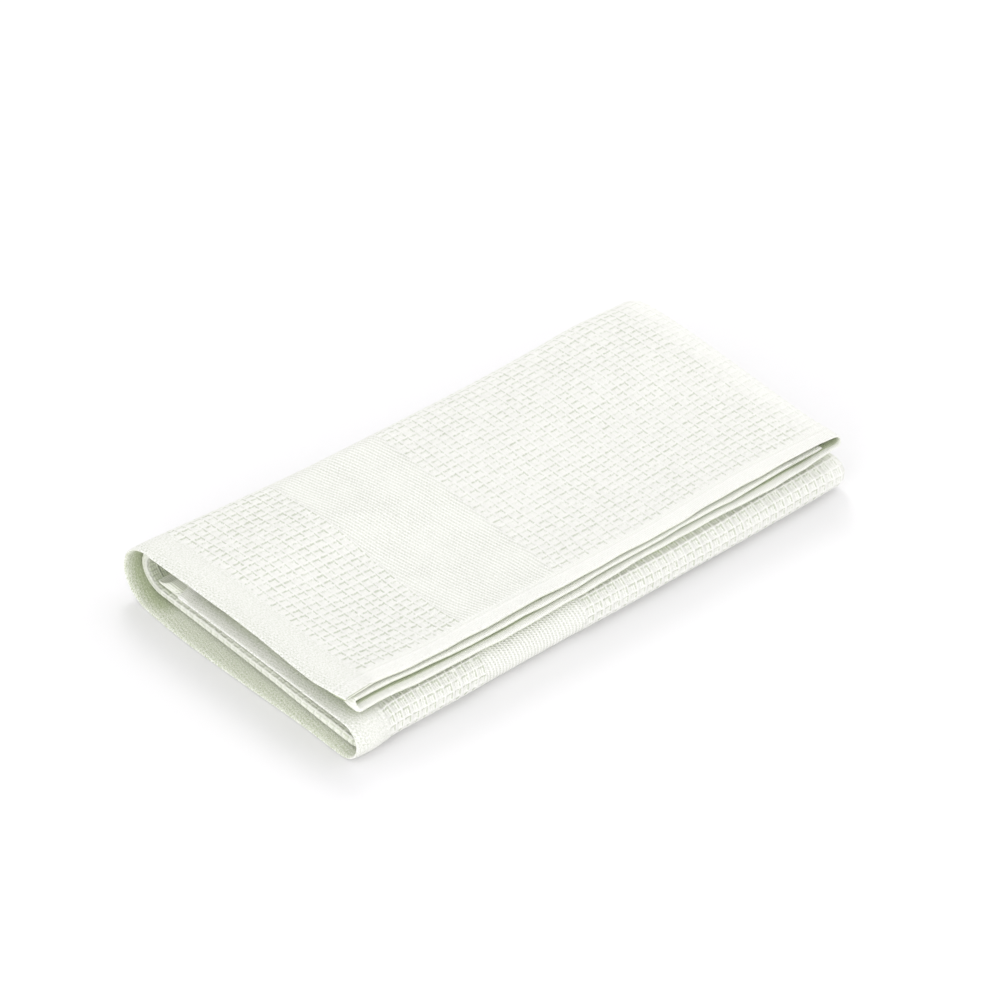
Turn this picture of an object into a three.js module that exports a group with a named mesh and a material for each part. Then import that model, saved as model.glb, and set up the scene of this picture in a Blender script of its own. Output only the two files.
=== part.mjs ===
// A waffle-weave bath towel, folded in thirds along its length and then in
// thirds across its width, lying flat.  Millimetres, +Z up.
//
// +X runs along the folded length: the plain hem of the outer panel is at the
// open end, -X, and the outer fold is at +X.  The four free edges of the top
// layers are at -Y, above the lower roll, and the big outer fold is at +Y.
// The origin is under the middle of the folded towel, on its resting face.
//
// The towel is one sheet of cloth and one closed solid.  Lengthwise it runs
// through three plies: ply +1 is the outer panel with the hem that shows,
// ply -1 the middle panel, ply 0 the inner end panel between the two.
// Crosswise the three plies go together through five stretches: the top
// panel, the outer fold, the bottom panel, the lower roll and the middle
// panel, whose free edge lies inside the outer fold.

import * as THREE from 'three';
import { mergeVertices } from 'three/addons/utils/BufferGeometryUtils.js';

// ------------------------------------------------------- driving dimensions
const CLOTH = 2.4;          // thickness of the waffle cloth
const FOLDED_LENGTH = 462;  // hem edge to outer end fold, nominal
const END_FOLD = 6.0;       // half height of the end fold, outer to middle ply
const NOSE_BACK = 8.5;      // the inner fold sits this far inside the hem edge
const NOSE = 3.0;           // half height of the inner fold
const INNER_STOP = 445;     // where the inner end panel stops, from the hem end
const MIDDLE_EDGE = 42;     // Y of the middle panel's free edge on ply +1
const MIDDLE_STEP = 12.5;   // each further ply of it reaches this much more
const BASE = CLOTH / 2;     // mid height of the ply that rests on the surface
const CENTRE = new THREE.Vector3(-232.361, 33.219, 0); // moves the middle to X = Y = 0

// Plan of the folded towel, by distance from the hem end:
// outer  Y of the outermost line of the big fold
// edge   Y of the free edge of the top ply
// mid    how far the second ply's edge stands out past it
// low    how far the third ply's edge stands out past it
// roll   Y of the outermost line of the lower roll
// top    height of the top ply
const PLAN = [
  { along:   0, outer: 94.0, edge: -145.3, mid: 1.0, low: 7.0, roll: -159.6, top: 48.6 },
  { along:  14, outer: 93.9, edge: -143.6, mid: 0.8, low: 7.4, roll: -160.9, top: 48.3 },
  { along:  26, outer: 93.4, edge: -142.6, mid: 0.8, low: 7.4, roll: -159.8, top: 48.0 },
  { along:  38, outer: 92.8, edge: -143.2, mid: 0.8, low: 7.2, roll: -158.2, top: 47.8 },
  { along:  80, outer: 90.0, edge: -146.6, mid: 1.4, low: 6.2, roll: -158.5, top: 47.4 },
  { along: 140, outer: 86.8, edge: -146.6, mid: 3.0, low: 7.4, roll: -158.2, top: 47.0 },
  { along: 184, outer: 85.8, edge: -147.0, mid: 3.0, low: 6.6, roll: -158.0, top: 46.8 },
  { along: 248, outer: 85.0, edge: -147.6, mid: 0.8, low: 3.6, roll: -158.4, top: 46.6 },
  { along: 305, outer: 84.8, edge: -147.4, mid: 0.2, low: 2.6, roll: -158.4, top: 46.6 },
  { along: 368, outer: 86.4, edge: -145.6, mid: 2.4, low: 6.2, roll: -158.2, top: 46.8 },
  { along: 410, outer: 88.4, edge: -146.4, mid: 0.8, low: 5.6, roll: -157.6, top: 47.0 },
  { along: 462, outer: 85.6, edge: -148.8, mid: 0.4, low: 4.0, roll: -156.4, top: 47.2 },
];

// Ends of the plies, by the place across the fold:
// across 0 top edge, 1 start of outer fold, 2 bottom, 3 roll, 4 middle panel,
//        5 its edge
// hem    X shift of the plain hem edge of ply +1
// nose   X shift of the inner fold
// far    X shift of the outer end fold
// gap    drop from one ply to the next
// sag    lift of the top or middle panel at this place
const ENDS = [
  { across: 0.00, hem:  1.8, nose:  0.6, far: -3.6, gap: 5.3, sag:  0.6 },
  { across: 0.07, hem: -0.4, nose:  0.4, far: -2.8, gap: 5.3, sag:  0.2 },
  { across: 0.15, hem: -1.6, nose:  0.0, far: -2.0, gap: 5.3, sag: -0.5 },
  { across: 0.40, hem:  0.4, nose:  0.0, far:  0.4, gap: 5.3, sag: -0.2 },
  { across: 0.55, hem:  1.2, nose:  0.0, far:  2.0, gap: 5.3, sag:  0.3 },
  { across: 0.90, hem:  0.4, nose:  1.0, far:  5.2, gap: 5.4, sag:  0.2 },
  { across: 1.10, hem:  0.6, nose:  2.2, far:  3.6, gap: 5.5, sag:  0.0 },
  { across: 1.50, hem:  0.2, nose:  3.6, far:  0.6, gap: 5.2, sag:  0.0 },
  { across: 1.90, hem: -0.4, nose:  4.4, far:  0.2, gap: 5.2, sag:  0.0 },
  { across: 2.20, hem: -3.6, nose:  3.2, far:  0.0, gap: 5.3, sag:  0.0 },
  { across: 2.55, hem: -2.6, nose:  1.4, far: -1.0, gap: 5.4, sag:  0.0 },
  { across: 2.80, hem: -1.2, nose: -0.8, far: -1.6, gap: 5.3, sag:  0.0 },
  { across: 3.00, hem: -1.6, nose: -1.6, far: -1.4, gap: 5.0, sag:  0.0 },
  { across: 3.50, hem: -0.2, nose:  0.0, far: -0.6, gap: 4.5, sag:  0.0 },
  { across: 4.00, hem: -0.8, nose:  0.4, far: -4.0, gap: 5.0, sag:  0.0 },
  { across: 4.50, hem:  0.0, nose:  0.0, far: -6.0, gap: 5.2, sag:  0.8 },
  { across: 5.20, hem:  0.4, nose:  0.0, far: -8.0, gap: 5.2, sag:  2.2 },
];

// Unevenness of the top panel, by distance from the hem end:
// dip    rise or fall of the shallow valley along it, at 0.38 of its width
// swell  rise of the low ridge beside the big fold, at 0.76 of its width
const TOP = [
  { along:   0, dip:  0.0, swell: 0.0 },
  { along:  20, dip: -0.3, swell: 1.0 },
  { along:  50, dip: -1.8, swell: 2.3 },
  { along:  90, dip: -3.2, swell: 2.8 },
  { along: 140, dip: -3.6, swell: 2.8 },
  { along: 200, dip: -3.7, swell: 2.2 },
  { along: 270, dip: -3.9, swell: 1.6 },
  { along: 320, dip: -3.3, swell: 1.6 },
  { along: 367, dip: -1.7, swell: 1.7 },
  { along: 415, dip:  0.0, swell: 1.5 },
  { along: 440, dip:  0.7, swell: 1.0 },
  { along: 462, dip:  0.3, swell: 0.3 },
];

// Height of the middle panel's upper ply, by distance from the hem end.
const MIDDLE = [
  { along:   0, height: 30.0 },
  { along:  60, height: 30.4 },
  { along: 240, height: 30.2 },
  { along: 462, height: 29.6 },
];

// Lengthwise stretches of the sheet and the number of facet rows in each.
// crowd  above 1 the rows are closer together at the stretch's start, below
//        -1 at its end
const LENGTHWISE = [
  { name: 'outer panel', rows: 13, crowd: 1.5 },
  { name: 'end fold', rows: 8, crowd: 1 },
  { name: 'middle panel', rows: 12, crowd: -1.5 },
  { name: 'inner fold', rows: 6, crowd: 1 },
  { name: 'inner end panel', rows: 10, crowd: 1.5 },
];

// Crosswise stretches of the sheet and the number of facet columns in each.
const CROSSWISE = [
  { name: 'top panel', columns: 10, crowd: 1 },
  { name: 'outer fold', columns: 10, crowd: 1 },
  { name: 'bottom panel', columns: 7, crowd: 1 },
  { name: 'lower roll', columns: 9, crowd: 1 },
  { name: 'middle panel', columns: 6, crowd: 1 },
];

// ------------------------------------------------------------------ shaping
// Smooth reading of one column of a table at a place between its rows.
function read(table, key, at, column) {
  const last = table.length - 1;
  if (at <= table[0][key]) return table[0][column];
  if (at >= table[last][key]) return table[last][column];
  let i = 0;
  while (at > table[i + 1][key]) i += 1;
  const slope = (j) => {
    const a = table[Math.max(0, j - 1)];
    const b = table[Math.min(last, j + 1)];
    return (b[column] - a[column]) / (b[key] - a[key]);
  };
  const p = table[i];
  const q = table[i + 1];
  const h = q[key] - p[key];
  const t = (at - p[key]) / h;
  const t2 = t * t;
  const t3 = t2 * t;
  return (2 * t3 - 3 * t2 + 1) * p[column] + (t3 - 2 * t2 + t) * h * slope(i)
    + (-2 * t3 + 3 * t2) * q[column] + (t3 - t2) * h * slope(i + 1);
}

const mix = (a, b, t) => a + (b - a) * t;

// Smooth hump of height 1 around a centre, 0 from its half width outward.
const hump = (at, centre, half) => Math.max(0, 1 - ((at - centre) / half) ** 2) ** 2;

// Lengthwise place: stretch number plus a fraction -> distance from the hem
// end and ply, where the ply is +1 outer, 0 inner end and -1 middle panel.
function lengthwise(s) {
  const k = Math.min(4, Math.floor(s));
  const t = s - k;
  const far = FOLDED_LENGTH - END_FOLD;
  const near = NOSE_BACK + NOSE;
  if (k === 0) return { along: far * t, ply: 1 };
  if (k === 1) return { along: far + END_FOLD * Math.sin(Math.PI * t), ply: Math.cos(Math.PI * t) };
  if (k === 2) return { along: mix(far, near, t), ply: -1 };
  if (k === 3) return { along: near - NOSE * Math.sin(Math.PI * t), ply: -0.5 - 0.5 * Math.cos(Math.PI * t) };
  return { along: mix(near, INNER_STOP, t), ply: 0 };
}

// One point of the middle surface of the sheet.  s is the lengthwise place,
// w the crosswise one, both counted in stretches.
function sheetPoint(s, w) {
  const { along, ply } = lengthwise(s);
  const at = (column) => read(PLAN, 'along', along, column);
  const depth = 1 - ply;                       // plies in from the outer one
  const top = at('top');
  const middle = read(MIDDLE, 'along', along, 'height');
  const foldRadius = (top - BASE) / 2;
  const rollRadius = (middle - BASE) / 2;
  const foldY = at('outer') - CLOTH / 2 - foldRadius;
  const rollY = at('roll') + CLOTH / 2 + rollRadius;
  const edge = at('edge') - (depth < 1 ? mix(0, at('mid'), depth) : mix(at('mid'), at('low'), depth - 1));
  const stop = MIDDLE_EDGE + MIDDLE_STEP * depth;

  // crosswise place on the reference section, the same for all plies
  let u = w;
  if (w < 1) u = mix((edge - at('edge')) / (foldY - at('edge')), 1, w);
  if (w > 4) u = 4 + (w - 4) * (stop - rollY) / (MIDDLE_EDGE - rollY);

  const uneven = read(TOP, 'along', along, 'dip') * hump(u, 0.38, 0.38)
    + read(TOP, 'along', along, 'swell') * hump(u, 0.76, 0.24);
  const lift = read(ENDS, 'across', u, 'sag') + uneven;
  const drop = depth * (read(ENDS, 'across', u, 'gap') + 0.3 * Math.min(0, uneven));
  const k = Math.max(0, Math.min(4, Math.floor(u)));
  const angle = Math.PI * (u - k);
  let y;
  let z;
  if (k === 0) {
    y = mix(at('edge'), foldY, u);
    z = top + lift - drop;
  } else if (k === 1) {
    y = foldY + (foldRadius - drop) * Math.sin(angle);
    z = BASE + foldRadius + (foldRadius - drop) * Math.cos(angle);
  } else if (k === 2) {
    y = mix(foldY, rollY, u - 2);
    z = BASE + drop;
  } else if (k === 3) {
    y = rollY - (rollRadius - drop) * Math.sin(angle);
    z = BASE + rollRadius - (rollRadius - drop) * Math.cos(angle);
  } else {
    y = mix(rollY, MIDDLE_EDGE, u - 4);
    z = middle + lift - drop;
  }

  // the ends of the plies are a little uneven
  const t = along / FOLDED_LENGTH;
  const hem = read(ENDS, 'across', u, 'hem');
  const nose = read(ENDS, 'across', u, 'nose');
  const near = mix(nose, hem, Math.max(0, Math.min(1, ply)));
  const x = along + near * (1 - t) ** 3 + read(ENDS, 'across', u, 'far') * t ** 3;
  return new THREE.Vector3(x, y, z).add(CENTRE);
}

// Unit normal of the middle surface, pointing to the outside of the fold.
function sheetNormal(s, w) {
  const step = 1e-3;
  const s0 = Math.max(0, s - step);
  const s1 = Math.min(5, s + step);
  const w0 = Math.max(0, w - step);
  const w1 = Math.min(5, w + step);
  const ds = sheetPoint(s1, w).sub(sheetPoint(s0, w));
  const dw = sheetPoint(s, w1).sub(sheetPoint(s, w0));
  return ds.cross(dw).normalize();
}

// Places along a direction: each stretch divided into its facets.
function places(stretches, column) {
  const out = [0];
  stretches.forEach((row, k) => {
    for (let i = 1; i <= row[column]; i += 1) {
      const t = i / row[column];
      out.push(k + (row.crowd > 0 ? t ** row.crowd : 1 - (1 - t) ** -row.crowd));
    }
  });
  return out;
}

// ---------------------------------------------------------------- the towel
function towelGeometry() {
  const S = places(LENGTHWISE, 'rows');
  const W = places(CROSSWISE, 'columns');
  const count = S.length * W.length;
  const position = new Float32Array(count * 2 * 3);
  S.forEach((s, i) => {
    W.forEach((w, j) => {
      const p = sheetPoint(s, w);
      const n = sheetNormal(s, w).multiplyScalar(CLOTH / 2);
      const id = i * W.length + j;
      const outer = p.clone().add(n);
      const inner = p.clone().sub(n);
      // the bottom panel's outer face is the flat resting face
      if (Math.abs(outer.z) < 0.05) outer.z = 0;
      position.set(outer.toArray(), id * 3);
      position.set(inner.toArray(), (count + id) * 3);
    });
  });

  const index = [];
  const quad = (a, b, c, d) => index.push(a, b, c, a, c, d);
  const id = (i, j, side) => side * count + i * W.length + j;
  const I = S.length - 1;
  const J = W.length - 1;
  for (let i = 0; i < I; i += 1) {
    for (let j = 0; j < J; j += 1) {
      quad(id(i, j, 0), id(i + 1, j, 0), id(i + 1, j + 1, 0), id(i, j + 1, 0));
      quad(id(i, j, 1), id(i, j + 1, 1), id(i + 1, j + 1, 1), id(i + 1, j, 1));
    }
  }
  for (let i = 0; i < I; i += 1) {
    quad(id(i, 0, 0), id(i, 0, 1), id(i + 1, 0, 1), id(i + 1, 0, 0));
    quad(id(i, J, 0), id(i + 1, J, 0), id(i + 1, J, 1), id(i, J, 1));
  }
  for (let j = 0; j < J; j += 1) {
    quad(id(0, j, 0), id(0, j + 1, 0), id(0, j + 1, 1), id(0, j, 1));
    quad(id(I, j, 0), id(I, j, 1), id(I, j + 1, 1), id(I, j + 1, 0));
  }
  const geometry = new THREE.BufferGeometry();
  geometry.setAttribute('position', new THREE.BufferAttribute(position, 3));
  geometry.setIndex(index);
  return mergeVertices(geometry, 1e-4);
}

const towel = new THREE.Mesh(
  towelGeometry(),
  new THREE.MeshStandardMaterial({ color: 0xf3f4ec, roughness: 0.92, metalness: 0 }),
);
towel.name = 'towel';

const group = new THREE.Group();
group.add(towel);

export default group;
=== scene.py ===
"""Looks of a waffle-weave bath towel that is folded in thirds along its length
and in thirds across its width.

The towel is one sheet.  Its middle surface is the same as the solid's; the
outer face carries the waffle's ridges and pockets as real relief, and both
faces carry the yarns, the twill band, the ribbed selvedges and the hems as a
procedural finish laid out in the cloth's own coordinates, with painted shade
in the pockets, in the gaps between plies and inside the folds.  Lengths in
the tables are millimetres; meshes are in metres.
"""

import math

import bpy
import numpy as np
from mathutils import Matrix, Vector


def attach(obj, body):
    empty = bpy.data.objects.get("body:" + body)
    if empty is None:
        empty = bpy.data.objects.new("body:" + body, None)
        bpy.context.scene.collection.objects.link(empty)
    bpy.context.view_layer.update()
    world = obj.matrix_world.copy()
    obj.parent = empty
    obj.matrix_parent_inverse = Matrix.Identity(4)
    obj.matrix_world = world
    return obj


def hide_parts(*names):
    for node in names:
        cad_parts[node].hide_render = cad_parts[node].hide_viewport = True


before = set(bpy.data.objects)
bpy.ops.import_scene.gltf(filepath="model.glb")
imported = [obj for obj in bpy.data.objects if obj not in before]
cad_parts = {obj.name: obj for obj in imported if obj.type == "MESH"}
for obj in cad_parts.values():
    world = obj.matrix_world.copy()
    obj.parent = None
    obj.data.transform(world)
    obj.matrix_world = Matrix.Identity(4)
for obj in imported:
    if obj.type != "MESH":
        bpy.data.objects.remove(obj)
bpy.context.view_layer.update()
scene = bpy.context.scene

# ------------------------------------------------------------------- camera
AZIMUTH, ELEVATION = -41.4, 37.4
TARGET = Vector((0.035639, 0.033219, 0.0))
DISTANCE = 4.2857
a, e = math.radians(AZIMUTH), math.radians(ELEVATION)
back = Vector((math.sin(a) * math.cos(e), -math.cos(a) * math.cos(e), math.sin(e)))
cam_data = bpy.data.cameras.new("camera")
cam_data.sensor_width = 36.0
cam_data.lens = 216.0
cam_data.clip_start, cam_data.clip_end = 0.05, 60.0
cam = bpy.data.objects.new("camera", cam_data)
cam.location = TARGET + back * DISTANCE
cam.rotation_euler = (math.radians(90 - ELEVATION), 0.0, a)
scene.collection.objects.link(cam)
scene.camera = cam

# ----------------------------------------------------- the folded middle surface
CLOTH = 2.4
FOLDED_LENGTH = 462.0
END_FOLD = 6.0
NOSE_BACK = 8.5
NOSE = 3.0
INNER_STOP = 445.0
MIDDLE_EDGE = 42.0
MIDDLE_STEP = 12.5
BASE = CLOTH / 2
CENTRE = np.array([-232.361, 33.219, 0.0])

# along, outer, edge, mid, low, roll, top
PLAN = np.array([
    [0, 94.0, -145.3, 1.0, 7.0, -159.6, 48.6],
    [14, 93.9, -143.6, 0.8, 7.4, -160.9, 48.3],
    [26, 93.4, -142.6, 0.8, 7.4, -159.8, 48.0],
    [38, 92.8, -143.2, 0.8, 7.2, -158.2, 47.8],
    [80, 90.0, -146.6, 1.4, 6.2, -158.5, 47.4],
    [140, 86.8, -146.6, 3.0, 7.4, -158.2, 47.0],
    [184, 85.8, -147.0, 3.0, 6.6, -158.0, 46.8],
    [248, 85.0, -147.6, 0.8, 3.6, -158.4, 46.6],
    [305, 84.8, -147.4, 0.2, 2.6, -158.4, 46.6],
    [368, 86.4, -145.6, 2.4, 6.2, -158.2, 46.8],
    [410, 88.4, -146.4, 0.8, 5.6, -157.6, 47.0],
    [462, 85.6, -148.8, 0.4, 4.0, -156.4, 47.2],
], float)

# across, hem, nose, far, gap, sag
ENDS = np.array([
    [0.00, 1.8, 0.6, -3.6, 5.3, 0.6],
    [0.07, -0.4, 0.4, -2.8, 5.3, 0.2],
    [0.15, -1.6, 0.0, -2.0, 5.3, -0.5],
    [0.40, 0.4, 0.0, 0.4, 5.3, -0.2],
    [0.55, 1.2, 0.0, 2.0, 5.3, 0.3],
    [0.90, 0.4, 1.0, 5.2, 5.4, 0.2],
    [1.10, 0.6, 2.2, 3.6, 5.5, 0.0],
    [1.50, 0.2, 3.6, 0.6, 5.2, 0.0],
    [1.90, -0.4, 4.4, 0.2, 5.2, 0.0],
    [2.20, -3.6, 3.2, 0.0, 5.3, 0.0],
    [2.55, -2.6, 1.4, -1.0, 5.4, 0.0],
    [2.80, -1.2, -0.8, -1.6, 5.3, 0.0],
    [3.00, -1.6, -1.6, -1.4, 5.0, 0.0],
    [3.50, -0.2, 0.0, -0.6, 4.5, 0.0],
    [4.00, -0.8, 0.4, -4.0, 5.0, 0.0],
    [4.50, 0.0, 0.0, -6.0, 5.2, 0.8],
    [5.20, 0.4, 0.0, -8.0, 5.2, 2.2],
], float)

# along, dip, swell
TOP = np.array([
    [0, 0.0, 0.0],
    [20, -0.3, 1.0],
    [50, -1.8, 2.3],
    [90, -3.2, 2.8],
    [140, -3.6, 2.8],
    [200, -3.7, 2.2],
    [270, -3.9, 1.6],
    [320, -3.3, 1.6],
    [367, -1.7, 1.7],
    [415, 0.0, 1.5],
    [440, 0.7, 1.0],
    [462, 0.3, 0.3],
], float)

# along, height
MIDDLE = np.array([[0, 30.0], [60, 30.4], [240, 30.2], [462, 29.6]], float)


def read(table, at, column):
    """Smooth reading of one column of a table at places between its rows."""
    x, v = table[:, 0], table[:, column]
    n = len(x)
    at = np.clip(np.asarray(at, float), x[0], x[-1])
    i = np.clip(np.searchsorted(x, at, side="left") - 1, 0, n - 2)
    j = np.arange(n)
    lo, hi = np.maximum(0, j - 1), np.minimum(n - 1, j + 1)
    slope = (v[hi] - v[lo]) / (x[hi] - x[lo])
    h = x[i + 1] - x[i]
    t = (at - x[i]) / h
    t2, t3 = t * t, t * t * t
    return ((2 * t3 - 3 * t2 + 1) * v[i] + (t3 - 2 * t2 + t) * h * slope[i]
            + (-2 * t3 + 3 * t2) * v[i + 1] + (t3 - t2) * h * slope[i + 1])


def mix(p, q, t):
    return p + (q - p) * t


def hump(at, centre, half):
    return np.maximum(0, 1 - ((at - centre) / half) ** 2) ** 2


def lengthwise(s):
    k = np.minimum(4, np.floor(s))
    t = s - k
    far, near = FOLDED_LENGTH - END_FOLD, NOSE_BACK + NOSE
    stretch = [k == 0, k == 1, k == 2, k == 3]
    along = np.select(stretch, [
        far * t,
        far + END_FOLD * np.sin(np.pi * t),
        mix(far, near, t),
        near - NOSE * np.sin(np.pi * t),
    ], mix(near, INNER_STOP, t))
    ply = np.select(stretch, [
        1 + 0 * t, np.cos(np.pi * t), -1 + 0 * t, -0.5 - 0.5 * np.cos(np.pi * t),
    ], 0 * t)
    return along, ply


def sheet_point(s, w):
    s, w = np.broadcast_arrays(np.asarray(s, float), np.asarray(w, float))
    along, ply = lengthwise(s)
    outer, edge0, mid, low, roll, top = (read(PLAN, along, c) for c in range(1, 7))
    depth = 1 - ply
    middle = read(MIDDLE, along, 1)
    fold_r, roll_r = (top - BASE) / 2, (middle - BASE) / 2
    fold_y = outer - CLOTH / 2 - fold_r
    roll_y = roll + CLOTH / 2 + roll_r
    edge = edge0 - np.where(depth < 1, mix(0, mid, depth), mix(mid, low, depth - 1))
    stop = MIDDLE_EDGE + MIDDLE_STEP * depth
    u = np.where(w < 1, mix((edge - edge0) / (fold_y - edge0), 1, w),
                 np.where(w > 4, 4 + (w - 4) * (stop - roll_y) / (MIDDLE_EDGE - roll_y), w))
    uneven = (read(TOP, along, 1) * hump(u, 0.38, 0.38)
              + read(TOP, along, 2) * hump(u, 0.76, 0.24))
    lift = read(ENDS, u, 5) + uneven
    # the corner of the end fold at the free edge is pinched flat
    pinch = 1 - 0.38 * smooth(425, 455, along) * (1 - smooth(0.04, 0.2, u))
    drop = depth * (read(ENDS, u, 4) + 0.3 * np.minimum(0, uneven)) * pinch
    k = np.clip(np.floor(u), 0, 4)
    angle = np.pi * (u - k)
    stretch = [k == 0, k == 1, k == 2, k == 3]
    y = np.select(stretch, [
        mix(edge0, fold_y, u),
        fold_y + (fold_r - drop) * np.sin(angle),
        mix(fold_y, roll_y, u - 2),
        roll_y - (roll_r - drop) * np.sin(angle),
    ], mix(roll_y, MIDDLE_EDGE, u - 4))
    z = np.select(stretch, [
        top + lift - drop,
        BASE + fold_r + (fold_r - drop) * np.cos(angle),
        BASE + drop,
        BASE + roll_r - (roll_r - drop) * np.cos(angle),
    ], middle + lift - drop)
    t = along / FOLDED_LENGTH
    near = mix(read(ENDS, u, 2), read(ENDS, u, 1), np.clip(ply, 0, 1))
    x = along + near * (1 - t) ** 3 + read(ENDS, u, 3) * t ** 3
    return np.stack([x, y, z], -1) + CENTRE


# ------------------------------------------------------- the cloth's own layout
# U runs along the sheet from the hem that shows, V across it from the free
# edge of the top panel.
LENGTHS = np.array([0, 456.0, 473.8, 918.3, 927.2, 1360.7])
WIDTHS = np.array([0, 210.0, 281.5, 487.5, 533.0, 720.0])
SHEET_LENGTH, SHEET_WIDTH = LENGTHS[-1], WIDTHS[-1]
HEM = 28.0
BAND = (117.2, 208.2)          # the plain twill band, from each hem edge
CELLS_NEAR = 12                # waffle cells between hem and band
CELLS_LONG = 118               # waffle cells between the two bands
SELVEDGE = 14.3
CELLS_ACROSS = 100
CELL_NEAR = (BAND[0] - HEM) / CELLS_NEAR
CELL_LONG = (SHEET_LENGTH - 2 * BAND[1]) / CELLS_LONG
CELL_ACROSS = (SHEET_WIDTH - 2 * SELVEDGE) / CELLS_ACROSS
RIDGE = 1.2                    # height of the ridges over the middle surface
PLAIN = 0.85                   # height of the plain areas
POCKET = -0.25                 # height of the pockets' floors
LIP = 1.9                      # extra thickness of the turned selvedge at the free edge


def to_s(length):
    return np.interp(length, LENGTHS, np.arange(6.0))


def to_w(width):
    return np.interp(width, WIDTHS, np.arange(6.0))


def wave(p, q, terms):
    """A smooth irregular field of two coordinates: sum of sines, about -1 to 1."""
    out = 0.0
    for kp, kq, phase, size in terms:
        out = out + size * np.sin(p / kp + q / kq + phase)
    return out


DRIFT_U = [(61, 23, 0.4, 0.45), (-34, 41, 2.1, 0.35), (17, 57, 4.0, 0.2), (9.5, -11, 1.0, 0.16)]
DRIFT_V = [(29, 48, 1.7, 0.45), (47, -26, 0.2, 0.35), (63, 15, 3.0, 0.2), (-10.5, 9, 5.0, 0.16)]
UNEVEN = [(19, 13, 0.9, 0.4), (-27, 17, 2.6, 0.35), (11, -31, 4.4, 0.25), (7.3, 8.1, 0.3, 0.14)]


def cell_noise(i, j):
    """A fixed irregular number from 0 to 1 for each waffle cell."""
    q = np.sin(i * 12.9898 + j * 78.233) * 43758.5453
    return q - np.floor(q)


def bell(distance, half):
    return np.where(np.abs(distance) < half, np.cos(np.pi * distance / (2 * half)) ** 2, 0.0)


def smooth(edge0, edge1, x):
    t = np.clip((x - edge0) / (edge1 - edge0), 0, 1)
    return t * t * (3 - 2 * t)


def relief(length, width):
    """Height of the outer face over the middle surface, in millimetres."""
    u = np.where(length > SHEET_LENGTH / 2, SHEET_LENGTH - length, length)
    near = (u - HEM) / CELL_NEAR
    far = (u - BAND[1]) / CELL_LONG
    across = (width - SELVEDGE) / CELL_ACROSS
    in_near = (u > HEM - 1e-6) & (u < BAND[0] + 1e-6)
    in_far = u > BAND[1] - 1e-6
    phase = np.where(in_near, near, far)
    pitch = np.where(in_near, CELL_NEAR, CELL_LONG)
    du = (phase - np.round(phase)) * pitch
    dv = (across - np.round(across)) * CELL_ACROSS
    ru = bell(du, 1.75)
    rv = bell(dv, 1.70)
    cell = cell_noise(np.floor(phase + 1e-6) + np.where(in_near, 0, 40), np.floor(across + 1e-6))
    floor = POCKET + 0.3 * (cell - 0.5)
    height = floor + (RIDGE - floor) * (1 - (1 - ru) * (1 - 0.9 * rv))
    inside = ((in_near | in_far) & (width > SELVEDGE - 1e-6)
              & (width < SHEET_WIDTH - SELVEDGE + 1e-6))
    # the hem's stitch line is a shallow groove, its edge a soft round
    hem = PLAIN + 0.2 - 0.45 * bell(u - (HEM - 2.2), 1.6)
    plain = np.where(u < HEM, hem, PLAIN)
    return np.where(inside, height, plain)


# ----------------------------------------------------------------- the mesh
def cells(start, pitch, count, phases, stop=1e9):
    out = [start + pitch * (c + p) for c in range(count) for p in phases]
    return [x for x in out if x < stop - 1e-6]


PHASES = (0.0, 0.17, 0.5, 0.83)
rows_u = [0, 0.3, 0.9, 1.8, 3.2, 6, 9.5, 13, 16.5, 20, 23.2, 25.0, 25.8, 26.6]
rows_u += cells(HEM, CELL_NEAR, CELLS_NEAR, PHASES)
rows_u += list(BAND[0] + np.array([0, 1.2, 4, 10, 18, 27, 36, 45, 54, 63, 71, 78, 83, 85.8]))
rows_u += cells(BAND[1], CELL_LONG, 31, PHASES, 455.0)
rows_u += list(np.linspace(456, 473.8, 14))
mid_rows = np.linspace(0, 1, 30)[1:]
rows_u += list(473.8 + 444.5 * mid_rows)
rows_u += list(np.linspace(918.3, 927.2, 13)[1:])
rows_u += list(927.2 + 433.5 * np.r_[np.linspace(0, 0.985, 27)[1:], 0.994, 0.998, 1.0])
rows_u = np.array(rows_u)

cols_v = [0, 0.3, 0.9, 1.8, 3.4, 6, 8.5, 10.3, 12.3]
cols_v += cells(SELVEDGE, CELL_ACROSS, CELLS_ACROSS, PHASES, 281.5)
cols_v += [v for v in cells(SELVEDGE, CELL_ACROSS, CELLS_ACROSS, (0.0, 0.5), 486.0) if v >= 281.5]
cols_v += [v for v in cells(SELVEDGE, CELL_ACROSS, CELLS_ACROSS, PHASES, 536.0) if v >= 486.0]
cols_v += list(np.r_[np.linspace(540, 716, 26), 718.2, 719.3, 719.8, 720.0])
cols_v = np.array(cols_v)

U, V = np.meshgrid(rows_u, cols_v, indexing="ij")


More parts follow.
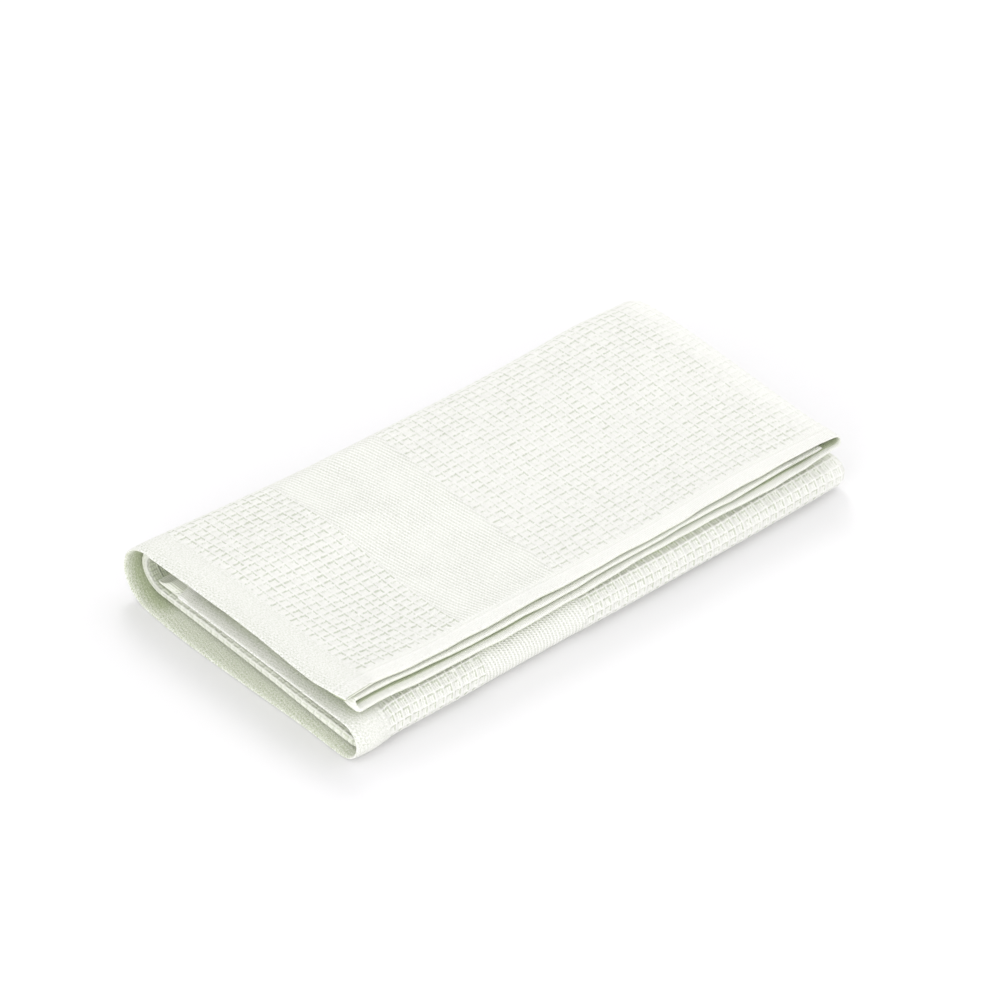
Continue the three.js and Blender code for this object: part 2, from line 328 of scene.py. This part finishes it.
def placed(length, width):
    """The middle surface with the cloth's small irregularities."""
    side = smooth(0, 14, width) * smooth(0, 14, SHEET_WIDTH - width)
    ends = smooth(0, 20, length) * smooth(0, 20, SHEET_LENGTH - length)
    beside_band = smooth(140, 205, length) * (1 - smooth(220, 330, length))
    skew = 2.3 * smooth(150, 215, width) * (1 - smooth(240, 280, width)) - 6.0 * (1 - smooth(12, 52, width))
    s = to_s(length + ends * wave(length, width, DRIFT_U) + beside_band * skew)
    # the free corner of the middle panel's hem is drawn in and round
    corner = 9.0 * (1 - smooth(0, 26, length)) * smooth(690, 720, width)
    w = to_w(width + side * wave(length, width, DRIFT_V) - corner)
    p = sheet_point(s, w)
    h = 1e-3
    ds = sheet_point(np.minimum(5, s + h), w) - sheet_point(np.maximum(0, s - h), w)
    dw = sheet_point(s, np.minimum(5, w + h)) - sheet_point(s, np.maximum(0, w - h))
    n = np.cross(ds, dw)
    n /= np.linalg.norm(n, axis=-1, keepdims=True)
    # soft hollows of the top panel, and free edges that wander a little
    on_top = (1 - smooth(195, 232, width)) * (1 - smooth(440, 462, length))
    p = p + n * (0.28 * on_top * wave(length, width, UNEVEN) * smooth(0, 25, width))[..., None]
    free = (1 - smooth(0, 12, width))
    p[..., 1] += free * (0.45 * np.sin(length / 13.0 + 0.7) + 0.3 * np.sin(length / 5.9 + 2.0))
    return p, n


def build_mesh():
    p, n = placed(U, V)
    outer_height = relief(U, V)
    # relief is real where the grid is fine: the outer panel and the end fold
    fine = 1 - smooth(474, 480, U)
    fine = fine * (1 - smooth(533, 540, V))
    thin_bottom = smooth(281.5, 290, V) * (1 - smooth(478, 486, V))
    # round the folds the cloth is stretched and its relief pulled flat
    stretched = np.maximum(smooth(436, 458, U), smooth(208, 232, V) * (1 - smooth(262, 285, V)))
    fine = fine * (1 - 0.6 * stretched)
    outer_height = PLAIN + (outer_height - PLAIN) * fine * (1 - 0.35 * thin_bottom)
    # the turned selvedge is thick on the side that faces down
    lip = LIP * (1 - smooth(7.5, SELVEDGE + 4, V)) * (1 - smooth(400, 440, lengthwise(to_s(U))[0]))
    turned_over = smooth(458, 474, U) * (1 - smooth(918.3, 927.2, U))
    # that corner is thick as well
    knob = 1.15 * smooth(703, 712, V) * (1 - smooth(30, 70, U))
    outer_height = outer_height + lip * turned_over + knob
    to_rim = np.minimum(np.minimum(U, SHEET_LENGTH - U), np.minimum(V, SHEET_WIDTH - V))
    rounding = np.sqrt(np.clip(1 - (1 - np.clip(to_rim / 1.8, 0, 1)) ** 2, 0.04, 1))
    outer = p + n * (outer_height * rounding)[..., None]
    hem_u = np.minimum(U, SHEET_LENGTH - U)
    inner_height = 1.0 + 0.35 * (1 - smooth(HEM - 2.5, HEM + 0.5, hem_u)) + lip * (1 - turned_over) + knob
    inner = p - n * (inner_height * rounding)[..., None]
    return p, n, outer, inner


P, N, OUTER, INNER = build_mesh()
FINE = (1 - smooth(474, 480, U)) * (1 - smooth(533, 540, V))
rows, cols = U.shape

# the inner face uses every few rows and columns of the same grid
keep_i = sorted(set(list(range(0, 14, 2)) + [13] + list(range(14, rows - 1, 3)) + [rows - 3, rows - 2, rows - 1]
                    + [i for i in range(rows) if 456 <= rows_u[i] <= 474 or 918.3 <= rows_u[i] <= 927.3]
                    + [i for i in range(rows) if 474 < rows_u[i] < 918 or rows_u[i] > 927.3]))
keep_j = sorted(set(list(range(0, 9)) + list(range(9, cols - 1, 4)) + list(range(cols - 5, cols))
                    + [j for j in range(cols) if 486 <= cols_v[j] <= 540][::2]))
keep_i, keep_j = np.array(keep_i), np.array(keep_j)

points, uvs, bump_and_shade_parts = [], [], []
outer_id = np.arange(rows * cols).reshape(rows, cols)
points.append(OUTER.reshape(-1, 3))
uvs.append(np.stack([U, V], -1).reshape(-1, 2))
# the third value of the 'cloth' attribute: from 0 to 1 it is how coarse the relief is and how much greener painted
# shade a face takes; past 1 it is deeper painted shade
middle_ply = smooth(462, 476, U) * (1 - smooth(917, 924, U))
inner_ply = smooth(921, 929, U)
at_edge = 1 - smooth(60, 90, V)
# painted shade, greener and darker, on a lip's underside and on the ply that a lip covers
under = 1.62 * (0.6 + 0.4 * smooth(0.0, 1.5, V)) * at_edge    # a lip's underside
over = 1.62 * smooth(2.4, 6.5, V) * at_edge                   # what a lip covers
# painted shade on the enclosed inner faces, a painted dark line under the lip above the roll, a painted shade gradient
# under the top hem on the middle panel, and painted shade inside the big fold
enclosed_shade = (1 - FINE) * (0.2 + 0.8 * smooth(4, 22, V))
roll_top = 1.05 * smooth(525, 532, V) * (1 - smooth(536, 546, V)) * smooth(25, 60, U) * (1 - smooth(462, 474, U))
on_middle = smooth(530, 542, V) * (1 - smooth(60, 90, U))
enclosed_shade = enclosed_shade * (1 - on_middle) + on_middle * (0.1 + 1.3 * smooth(5, 18, U) * (1 - smooth(698, 708, V)))
ring = 1.5 * smooth(195, 225, V) * (1 - smooth(285, 310, V)) * middle_ply
enclosed_shade = np.maximum.reduce([enclosed_shade, under * middle_ply, over * inner_ply, roll_top, ring])
enclosed_shade = enclosed_shade - 0.9 * on_middle * (1 - smooth(3, 10, U))   # below 0: painted light, paler at its edge by the opening
bump_and_shade_parts.append(enclosed_shade.ravel())
inner_id = rows * cols + np.arange(len(keep_i) * len(keep_j)).reshape(len(keep_i), len(keep_j))
points.append(INNER[np.ix_(keep_i, keep_j)].reshape(-1, 3))
uvs.append(np.stack([U[np.ix_(keep_i, keep_j)], V[np.ix_(keep_i, keep_j)]], -1).reshape(-1, 2))
# painted shade on the inner face inside the end fold's loop and inside the big fold
end_loop = 1.6 * smooth(436, 446, U) * (1 - smooth(476, 486, U)) * (1 - smooth(60, 90, V)) * smooth(1.0, 4.0, V)
big_fold = 1.50 * smooth(195, 225, V) * (1 - smooth(285, 310, V)) * smooth(0, 5, U)
inner_bump_and_shade = np.maximum.reduce([0.2 + 0.8 * smooth(4, 22, V), under * (1 - middle_ply), over * middle_ply,
                                end_loop, big_fold])
bump_and_shade_parts.append(inner_bump_and_shade[np.ix_(keep_i, keep_j)].ravel())

faces = []


def quads(a_, b_, c_, d_):
    faces.append(np.stack([a_, b_, c_, d_], -1).reshape(-1, 4))


quads(outer_id[:-1, :-1], outer_id[1:, :-1], outer_id[1:, 1:], outer_id[:-1, 1:])
quads(inner_id[:-1, :-1], inner_id[:-1, 1:], inner_id[1:, 1:], inner_id[1:, :-1])

# the rim: a loop between the two faces, drawn in where a hem's side is open
loop_outer = np.r_[outer_id[:-1, 0], outer_id[-1, :-1], outer_id[:0:-1, -1], outer_id[0, :0:-1]]
loop_ij = [(i, 0) for i in range(rows - 1)] + [(rows - 1, j) for j in range(cols - 1)] \
    + [(i, cols - 1) for i in range(rows - 1, 0, -1)] + [(0, j) for j in range(cols - 1, 0, -1)]
inner_at = {}
for ki, i in enumerate(keep_i):
    for kj, j in enumerate(keep_j):
        inner_at[(int(i), int(j))] = int(inner_id[ki, kj])
ii = np.array([q[0] for q in loop_ij])
jj = np.array([q[1] for q in loop_ij])
rim = (OUTER[ii, jj] + INNER[ii, jj]) / 2
side_of = (jj == 0)
inward = np.where(side_of, 1, np.where(jj == cols - 1, -1, 0))
step = P[ii, np.clip(jj + np.where(side_of, 3, np.where(jj == cols - 1, -3, 0)), 0, cols - 1)] - P[ii, jj]
length = np.linalg.norm(step, axis=-1, keepdims=True)
step = np.where(length > 1e-6, step / np.maximum(length, 1e-6), 0)
hem_side = np.minimum(rows_u[ii], SHEET_LENGTH - rows_u[ii])
open_end = smooth(0.8, 3, hem_side) * (1 - smooth(HEM - 6, HEM - 3, hem_side))
slot_depth = np.where(inward != 0, 2.6 * open_end, 0)
rim = rim + step * (slot_depth - 0.25 * (inward != 0))[:, None]
row_step = P[np.clip(ii + np.where(ii == 0, 3, -3), 0, rows - 1), jj] - P[ii, jj]
row_len = np.linalg.norm(row_step, axis=-1, keepdims=True)
ends_rim = ((ii == 0) | (ii == rows - 1)) & (inward == 0)
rim = rim - np.where(ends_rim[:, None], 0.25 * row_step / np.maximum(row_len, 1e-6), 0)
rim_id = rows * cols + inner_id.size + np.arange(len(loop_ij))
points.append(rim)
uvs.append(np.stack([U[ii, jj], V[ii, jj]], -1))
# painted shade deep in the open side of a hem
bump_and_shade_parts.append(np.where(inward != 0, 0.25 + 3.2 * open_end, 0.25))

count = len(loop_ij)
nxt = (np.arange(count) + 1) % count
# outer loop to rim loop; the outer grid's winding puts its normal outside
quads(loop_outer, rim_id, rim_id[nxt], loop_outer[nxt])
polygons = []
marks = [k for k in range(count) if loop_ij[k] in inner_at]
for q, k in enumerate(marks):
    k2 = marks[(q + 1) % len(marks)]
    run = [k]
    while run[-1] != k2:
        run.append((run[-1] + 1) % count)
    a_in, b_in = inner_at[loop_ij[k]], inner_at[loop_ij[k2]]
    for m in range(len(run) - 1):
        polygons.append((int(rim_id[run[m]]), a_in, int(rim_id[run[m + 1]])))
    polygons.append((int(rim_id[run[-1]]), a_in, b_in))

verts = np.concatenate(points) / 1000.0
quad_faces = np.concatenate(faces)
# the resting face lies on the surface and nothing goes below it
verts[:, 2] = np.maximum(verts[:, 2], 0.0)

mesh = bpy.data.meshes.new("towel_cloth")
all_faces = [tuple(int(x) for x in f) for f in quad_faces] + polygons
mesh.from_pydata([tuple(v) for v in verts], [], all_faces)
mesh.update()
cloth_uv = np.concatenate(uvs)
bump_and_shade = np.concatenate(bump_and_shade_parts)
attribute = mesh.attributes.new("cloth", "FLOAT_VECTOR", "POINT")
# U, V and the amount of painted shade, which also says how coarse the relief is
packed = np.stack([cloth_uv[:, 0], cloth_uv[:, 1], bump_and_shade], -1).astype(np.float32)
attribute.data.foreach_set("vector", packed.ravel())
mesh.polygons.foreach_set("use_smooth", np.ones(len(mesh.polygons), bool))
mesh.validate()
towel = bpy.data.objects.new("towel_cloth", mesh)
scene.collection.objects.link(towel)
print("towel_cloth", len(mesh.vertices), "vertices",
      sum(len(p_.vertices) - 2 for p_ in mesh.polygons), "triangles")


# ------------------------------------------------------------------ materials
class Nodes:
    """Short hand for building a node tree."""

    def __init__(self, tree):
        self.tree = tree
        self.tree.nodes.clear()

    def new(self, kind_, **settings):
        node = self.tree.nodes.new(kind_)
        for key, value in settings.items():
            setattr(node, key, value)
        return node

    def put(self, socket, value):
        if isinstance(value, bpy.types.NodeSocket):
            self.tree.links.new(value, socket)
        else:
            socket.default_value = value

    def math(self, operation, x, y=None, z=None):
        node = self.new("ShaderNodeMath", operation=operation)
        for socket, value in zip(node.inputs, (x, y, z)):
            if value is not None:
                self.put(socket, value)
        return node.outputs[0]

    def add(self, *xs):
        out = xs[0]
        for x in xs[1:]:
            out = self.math("ADD", out, x)
        return out

    def mul(self, *xs):
        out = xs[0]
        for x in xs[1:]:
            out = self.math("MULTIPLY", out, x)
        return out

    def sub(self, x, y):
        return self.math("SUBTRACT", x, y)

    def cos(self, x):
        return self.math("COSINE", x)

    def step(self, lo, hi, x):
        node = self.new("ShaderNodeMapRange", interpolation_type="SMOOTHSTEP")
        node.inputs["From Min"].default_value = lo
        node.inputs["From Max"].default_value = hi
        self.put(node.inputs["Value"], x)
        return node.outputs["Result"]

    def noise(self, vector, scale, detail=2.0, roughness=0.5):
        node = self.new("ShaderNodeTexNoise", noise_dimensions="3D")
        self.put(node.inputs["Vector"], vector)
        node.inputs["Scale"].default_value = scale
        node.inputs["Detail"].default_value = detail
        node.inputs["Roughness"].default_value = roughness
        return node.outputs["Fac"]

    def mixed(self, fac, x, y):
        node = self.new("ShaderNodeMix", data_type="RGBA")
        self.put(node.inputs[0], fac)
        self.put(node.inputs[6], x)
        self.put(node.inputs[7], y)
        return node.outputs[2]


def cloth_material():
    material = bpy.data.materials.new("waffle_cotton")
    material.use_nodes = True
    g = Nodes(material.node_tree)
    shader = g.new("ShaderNodeBsdfPrincipled")
    output = g.new("ShaderNodeOutputMaterial")
    g.tree.links.new(shader.outputs[0], output.inputs[0])
    cloth = g.new("ShaderNodeAttribute", attribute_name="cloth")
    split = g.new("ShaderNodeSeparateXYZ")
    g.put(split.inputs[0], cloth.outputs["Vector"])
    u, v = split.outputs[0], split.outputs[1]
    # how coarse the mesh's relief is and how much greener painted shade the face takes; past 1, the deeper painted
    # shade of gaps and slots
    coarse_and_shade = g.math("MINIMUM", split.outputs[2], 1.0)
    deep_shade = g.math("MAXIMUM", g.sub(split.outputs[2], 1.0), 0.0)
    flat = g.new("ShaderNodeCombineXYZ")
    g.put(flat.inputs[0], u)
    g.put(flat.inputs[1], v)
    flat = flat.outputs[0]

    # both ends of the sheet are alike
    end = g.math("MINIMUM", u, g.sub(SHEET_LENGTH, u))
    side = g.math("MINIMUM", v, g.sub(SHEET_WIDTH, v))
    hem = g.sub(1.0, g.step(HEM - 0.6, HEM + 0.6, end))
    band = g.mul(g.step(BAND[0] - 0.4, BAND[0] + 0.8, end), g.sub(1.0, g.step(BAND[1] - 0.8, BAND[1] + 0.4, end)))
    selvedge = g.sub(1.0, g.step(SELVEDGE - 0.8, SELVEDGE + 0.4, side))
    body = g.sub(1.0, selvedge)
    twill_zone = g.mul(body, g.math("MAXIMUM", band, g.mul(hem, 0.22)))
    waffle = g.mul(body, g.sub(1.0, g.math("MAXIMUM", band, hem)))

    # phases of the waffle cells, 0 on a ridge line
    is_near = g.math("LESS_THAN", end, BAND[0])
    near = g.math("DIVIDE", g.sub(end, HEM), CELL_NEAR)
    far = g.math("DIVIDE", g.sub(end, BAND[1]), CELL_LONG)
    phase_u = g.add(g.mul(near, is_near), g.mul(far, g.sub(1.0, is_near)))
    phase_v = g.math("DIVIDE", g.sub(v, SELVEDGE), CELL_ACROSS)

    # yarns wander a little and are uneven along their length
    wobble = g.sub(g.noise(flat, 0.16, 2.0), 0.5)
    patch = g.noise(flat, 0.035, 2.0)
    slub = g.sub(g.noise(flat, 0.55, 2.0), 0.5)
    yarn = g.sub(g.noise(flat, 1.15, 3.0, 0.62), 0.5)
    drawn = g.new("ShaderNodeCombineXYZ")
    g.put(drawn.inputs[0], g.add(g.mul(u, 0.95), g.mul(v, 0.22)))
    g.put(drawn.inputs[1], g.sub(g.mul(v, 0.42), g.mul(u, 0.05)))
    grain = g.sub(g.noise(drawn.outputs[0], 1.45, 2.0, 0.6), 0.5)
    # the roll's side, whose pockets and walls take more painted shade
    on_roll = g.mul(g.step(470.0, 492.0, v), g.sub(1.0, g.step(545.0, 575.0, v)))
    phase_u = g.add(phase_u, g.mul(slub, 0.16))
    phase_v = g.add(phase_v, g.mul(slub, -0.16))
    frac_u = g.math("FRACT", phase_u)
    frac_v = g.math("FRACT", phase_v)
    ridge_u = g.math("POWER", g.math("ABSOLUTE", g.cos(g.mul(phase_u, math.pi))), 16.0)
    ridge_v = g.math("POWER", g.math("ABSOLUTE", g.cos(g.mul(phase_v, math.pi))), 11.0)
    ridges = g.sub(1.0, g.mul(g.sub(1.0, ridge_u), g.sub(1.0, g.mul(ridge_v, 0.75))))

    # painted shade on each cell's walls under its two upper ridges, of random strength per cell
    cell = g.new("ShaderNodeCombineXYZ")
    g.put(cell.inputs[0], g.math("FLOOR", phase_u))
    g.put(cell.inputs[1], g.math("FLOOR", phase_v))
    chance = g.new("ShaderNodeTexWhiteNoise", noise_dimensions="2D")
    g.put(chance.inputs["Vector"], cell.outputs[0])
    parts = g.new("ShaderNodeSeparateColor")
    g.put(parts.inputs[0], chance.outputs["Color"])
    wall_v = g.mul(g.step(0.62, 0.78, frac_v), g.sub(1.0, g.step(0.80, 0.95, frac_v)),
                   g.step(0.02, 0.22, frac_u), g.sub(1.0, g.step(0.86, 0.98, frac_u)))
    wall_u = g.mul(g.step(0.74, 0.85, frac_u), g.sub(1.0, g.step(0.86, 0.95, frac_u)),
                   g.step(0.00, 0.20, frac_v), g.sub(1.0, g.step(0.88, 0.99, frac_v)))
    painted_wall_shade = g.math("MAXIMUM",
                     g.mul(wall_v, g.add(0.26, g.mul(parts.outputs[0], 0.52), g.mul(slub, 2.1))),
                     g.mul(wall_u, g.add(0.26, g.mul(parts.outputs[1], 0.46), g.mul(slub, 2.1))))
    outer_fold = g.step(434.0, 454.0, end)
    painted_wall_shade = g.mul(g.math("MAXIMUM", painted_wall_shade, 0.0), g.add(1.0, g.mul(yarn, 2.6)), g.sub(1.0, g.mul(outer_fold, 0.65)))

    thread_u = g.cos(g.add(g.mul(phase_u, 8.0 * math.pi), g.mul(wobble, 2.2)))
    thread_v = g.cos(g.add(g.mul(phase_v, 10.0 * math.pi), g.mul(wobble, 2.0)))
    pocket = g.sub(1.0, ridges)
    waffle_yarn = g.add(g.mul(thread_u, g.mul(pocket, 0.12)),
                        g.mul(thread_v, g.add(0.04, g.mul(ridge_u, 0.08))))
    slant = g.cos(g.mul(2 * math.pi, g.add(g.mul(u, 0.346), g.mul(v, 0.070), g.mul(wobble, 0.30))))
    cross = g.cos(g.mul(2 * math.pi, g.add(g.mul(u, 0.236), g.mul(v, 0.598), g.mul(wobble, 0.3))))
    other = g.cos(g.mul(2 * math.pi, g.add(g.mul(u, 0.340), g.mul(v, -0.352), g.mul(wobble, 0.3))))
    twill = g.mul(g.add(slant, g.mul(cross, 0.55), g.mul(other, 0.35), g.mul(slub, 2.0)),
                  g.add(0.35, g.mul(patch, 1.3)))
    rib = g.cos(g.add(g.mul(u, 2 * math.pi / 1.45), g.mul(wobble, 2.0)))
    # stitch lines of the end hems and of the turned selvedges, and a painted highlight beside the selvedge seam
    stitch_line = g.math("POWER", g.math("MAXIMUM", g.sub(1.0, g.mul(g.math("ABSOLUTE", g.sub(end, HEM - 2.2)), 1.1)), 0.0), 2.0)
    stitch = g.mul(stitch_line, g.cos(g.mul(v, 2 * math.pi / 3.1)), body)
    seam = g.math("MAXIMUM", g.sub(1.0, g.math("ABSOLUTE", g.sub(side, 11.2))), 0.0)
    # a painted highlight line on the turned selvedge
    glint = g.math("MAXIMUM", g.sub(1.0, g.math("ABSOLUTE", g.sub(side, 9.1))), 0.0)
    edge_of_hem = g.sub(1.0, g.step(6.0, 13.0, end))

    height = g.add(
        g.mul(waffle, waffle_yarn),
        g.mul(waffle, ridges, g.add(0.28, g.mul(coarse_and_shade, 0.75))),
        g.mul(twill_zone, twill, 0.17),
        g.mul(selvedge, rib, 0.12),
        g.mul(stitch, 0.15),
        g.mul(seam, -0.25),
        g.mul(yarn, 0.55),
        g.mul(hem, grain, 0.7),
    )
    bump = g.new("ShaderNodeBump")
    bump.inputs["Strength"].default_value = 1.0
    bump.inputs["Distance"].default_value = 0.001
    g.put(bump.inputs["Height"], height)
    g.tree.links.new(bump.outputs[0], shader.inputs["Normal"])

    # colour: ivory white, with greener and darker painted shade down in the pockets, on the pocket walls, in the gaps
    # and inside the folds; the yarns vary the tone
    plain_field = g.sub(1.0, waffle)
    dim = g.add(
        g.mul(waffle, 0.01),
        g.mul(plain_field, 0.22),
        g.mul(hem, body, 0.07),
        # painted shade down in the pockets, stronger on the roll and toward each cell's far side
        g.mul(waffle, pocket, g.add(0.12, g.mul(on_roll, g.add(0.15, g.mul(slub, 0.7))),
                                    g.mul(g.sub(frac_v, 0.5), 0.10))),
        g.mul(waffle, painted_wall_shade, g.sub(g.add(0.95, g.mul(is_near, 0.28), g.mul(on_roll, 0.25)), g.mul(coarse_and_shade, 0.5))),
        g.mul(waffle, pocket, thread_u, g.add(-0.05, g.mul(on_roll, -0.07))),
        g.mul(yarn, -1.0),
        g.mul(hem, grain, g.add(-2.1, g.mul(coarse_and_shade, 0.3))),
        g.mul(band, grain, -0.6),
        g.mul(band, body, 0.05),
        g.mul(band, body, twill, -0.25),
        g.mul(edge_of_hem, g.add(g.mul(twill, -0.10), g.mul(grain, -0.9), 0.05)),
        g.mul(selvedge, rib, g.add(-0.10, g.mul(coarse_and_shade, -0.07))),
        g.mul(selvedge, -0.06),
        g.mul(seam, 0.12),
        g.mul(glint, -0.12),
        # painted shade in the gaps and slots
        g.mul(deep_shade, g.add(1.15, g.mul(yarn, 0.6))),
        # a value below 0 takes dim away: painted light
        g.mul(g.math("MINIMUM", split.outputs[2], 0.0), 0.3),
    )
    dim_node = g.new("ShaderNodeClamp")
    g.put(dim_node.inputs[0], dim)
    # dim mixes the ivory toward a green-grey that serves both the yarns' darker tone and painted shade; inside is the
    # greener painted shade of the enclosed faces
    face = g.mixed(dim_node.outputs[0], (0.972, 0.966, 0.938, 1.0), (0.60, 0.635, 0.53, 1.0))
    inside = g.mixed(dim_node.outputs[0], (0.950, 0.960, 0.890, 1.0), (0.50, 0.56, 0.36, 1.0))
    colour = g.mixed(coarse_and_shade, face, inside)
    g.put(shader.inputs["Base Color"], colour)
    roughness = g.add(0.88, g.mul(yarn, 0.12))
    g.put(shader.inputs["Roughness"], roughness)
    shader.inputs["Specular IOR Level"].default_value = 0.15
    shader.inputs["Sheen Weight"].default_value = 0.12
    shader.inputs["Sheen Roughness"].default_value = 0.6
    shader.inputs["Sheen Tint"].default_value = (1.0, 1.0, 0.97, 1.0)
    return material


towel.data.materials.append(cloth_material())
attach(towel, "root")
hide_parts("towel")

# -------------------------------------------------------------- floor and light
floor_mesh = bpy.data.meshes.new("surface")
R = 6.0
floor_mesh.from_pydata([(-R, -R, -0.0002), (R, -R, -0.0002), (R, R, -0.0002), (-R, R, -0.0002)], [], [(0, 1, 2, 3)])
floor = bpy.data.objects.new("surface", floor_mesh)
scene.collection.objects.link(floor)
floor_material = bpy.data.materials.new("studio_white")
floor_material.use_nodes = True
floor_shader = floor_material.node_tree.nodes["Principled BSDF"]
floor_shader.inputs["Base Color"].default_value = (0.900, 0.894, 0.907, 1.0)
floor_shader.inputs["Roughness"].default_value = 0.9
floor_shader.inputs["Specular IOR Level"].default_value = 0.1
floor.data.materials.append(floor_material)

world = bpy.data.worlds.new("studio")
world.use_nodes = True
world.node_tree.nodes["Background"].inputs["Color"].default_value = (1.0, 1.0, 1.0, 1.0)
world.node_tree.nodes["Background"].inputs["Strength"].default_value = 0.975
scene.world = world


def area_light(name, direction, distance, size, power, colour):
    data = bpy.data.lights.new(name, "AREA")
    data.shape = "DISK"
    data.size = size
    data.energy = power
    data.color = colour
    light = bpy.data.objects.new(name, data)
    d = Vector(direction).normalized()
    light.location = d * distance
    light.rotation_mode = "QUATERNION"
    light.rotation_quaternion = d.to_track_quat("Z", "Y")
    scene.collection.objects.link(light)
    return light


area_light("key", (0.50, 0.72, 0.95), 2.6, 1.0, 11.0, (1.0, 0.995, 0.985))
area_light("fill", (-0.82, -0.45, 0.20), 2.6, 1.6, 19.0, (1.0, 1.0, 1.0))
area_light("front", (0.25, -0.90, 0.30), 2.6, 1.6, 7.0, (1.0, 1.0, 1.0))

scene.view_settings.view_transform = "Standard"
scene.view_settings.look = "None"
scene.view_settings.exposure = 0.0
scene.view_settings.gamma = 1.0
